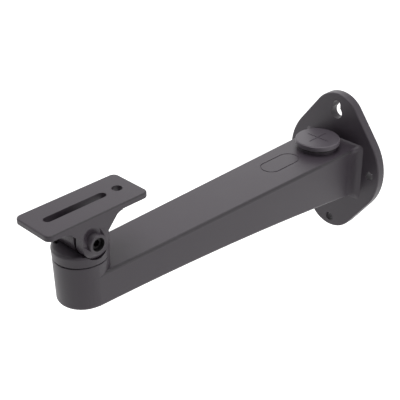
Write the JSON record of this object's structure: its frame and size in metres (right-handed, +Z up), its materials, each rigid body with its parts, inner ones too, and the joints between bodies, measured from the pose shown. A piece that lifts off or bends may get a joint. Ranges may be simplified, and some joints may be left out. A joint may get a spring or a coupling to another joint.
{
  "type": "camera bracket",
  "caption": "Wall bracket for a surveillance camera: lobed wall plate, hollow tapering arm, swivel base that turns, and a slotted camera plate that tilts.",
  "frame": {"origin": "centre of the wall plate's back face, midway between the two side fixing holes", "axes": "+Y into the wall, so the arm runs along -Y; +Z up; +X to the right seen from in front"},
  "size_m": [0.102, 0.34, 0.1406],
  "materials": {
    "casting_paint": "matt dark grey powder coat",
    "screw_black": "black oxide steel",
    "gasket_black": "black rubber",
    "disc_black": "black plastic friction disc"
  },
  "bodies": {
    "arm": {"arm_casting": "casting_paint", "cable_plug": "casting_paint", "plug_gasket": "gasket_black", "pan_friction_disc": "disc_black"},
    "turret": {"swivel_base": "casting_paint", "pan_screw": "screw_black", "pan_spring_washer": "screw_black", "pan_flat_washer": "screw_black", "pan_lock_screw": "screw_black", "tilt_screw": "screw_black", "tilt_spring_washer": "screw_black", "tilt_nut": "screw_black", "tilt_friction_disc": "disc_black"},
    "head": {"camera_bracket": "casting_paint"}
  },
  "joints": [
    {"name": "pan", "type": "hinge", "parent": "arm", "child": "turret", "pos_m": [0, -0.3, 0.0343], "axis": [0, 0, 1], "continuous": true},
    {"name": "tilt", "type": "hinge", "parent": "turret", "child": "head", "pos_m": [0, -0.3, 0.051], "axis": [1, 0, 0], "range_deg": [-30, 30]}
  ]
}
